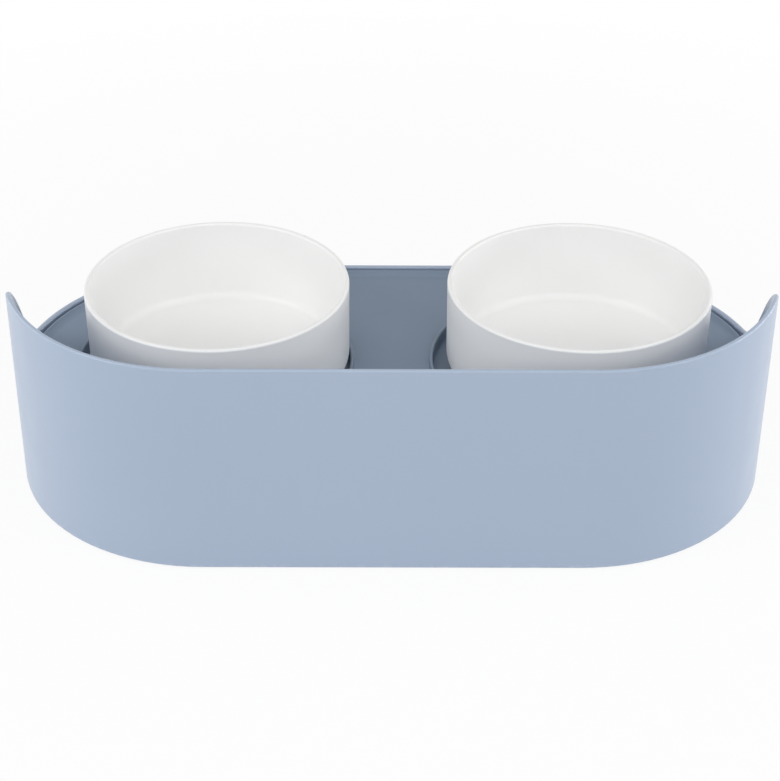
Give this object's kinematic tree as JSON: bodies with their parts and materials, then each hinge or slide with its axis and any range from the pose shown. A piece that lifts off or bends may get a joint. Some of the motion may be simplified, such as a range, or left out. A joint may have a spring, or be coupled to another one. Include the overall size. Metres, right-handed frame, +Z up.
{
  "type": "double pet bowl",
  "caption": "Raised pet feeding stand, stadium-shaped, with a swooping splash guard, a drop-in drip tray and lift-out round ceramic bowls.",
  "frame": {"origin": "on the ground under the middle of the stand", "axes": "+X along the stand, +Y from the guard towards the low side the pet eats from, +Z up"},
  "size_m": [0.3956, 0.2074, 0.1158],
  "materials": {
    "stand_plastic": "satin, moulded",
    "tray_plastic": "satin, moulded",
    "white_glaze": "satin white glaze",
    "foot_rubber": "matte"
  },
  "bodies": {
    "stand": {"stand_shell": "stand_plastic", "foot_guard_left": "foot_rubber", "foot_guard_right": "foot_rubber", "foot_low_left": "foot_rubber", "foot_low_right": "foot_rubber"},
    "tray": {"drip_tray": "tray_plastic"},
    "bowl_left": {"bowl_left": "white_glaze"},
    "bowl_right": {"bowl_right": "white_glaze"}
  },
  "joints": [
    {"name": "tray_lift", "type": "slide", "parent": "stand", "child": "tray", "axis": [0, 0, 1], "range_m": [0, 0.075]},
    {"name": "bowl_left_lift", "type": "slide", "parent": "tray", "child": "bowl_left", "axis": [0, 0, 1], "range_m": [0, 0.075]},
    {"name": "bowl_right_lift", "type": "slide", "parent": "tray", "child": "bowl_right", "axis": [0, 0, 1], "range_m": [0, 0.075]}
  ]
}
